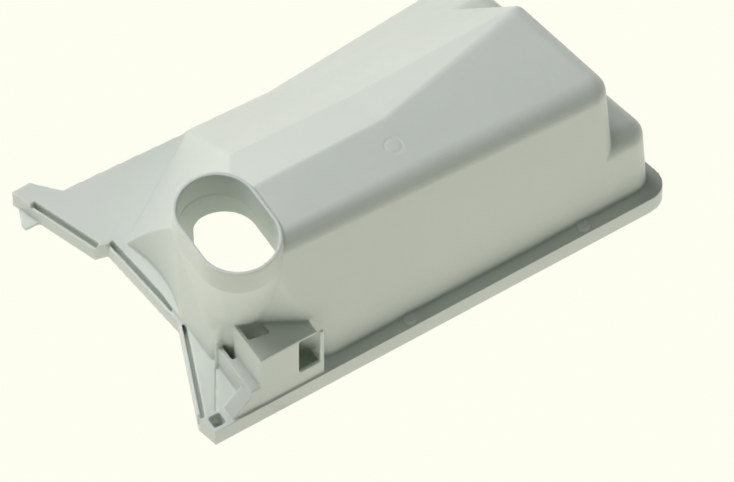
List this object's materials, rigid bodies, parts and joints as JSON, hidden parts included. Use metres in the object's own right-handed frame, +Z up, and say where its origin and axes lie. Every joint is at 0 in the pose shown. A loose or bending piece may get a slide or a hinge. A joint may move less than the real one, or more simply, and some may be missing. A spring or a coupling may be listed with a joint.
{
  "type": "washing machine dispenser hopper",
  "caption": "Thin-walled moulded plastic hopper of a washing machine dispenser, resting on its open rim, with a sloped body and an upright obround outlet spout.",
  "frame": {"origin": "centre of the bounding box at the rim plane", "axes": "+X along the long side away from the spout, +Y away from the front wall that the spout stands at, +Z up from the open rim to the spout"},
  "size_m": [0.2601, 0.161, 0.1205],
  "materials": {
    "plastic": "satin moulded polypropylene"
  },
  "bodies": {
    "root": {"hopper": "plastic"}
  },
  "joints": []
}
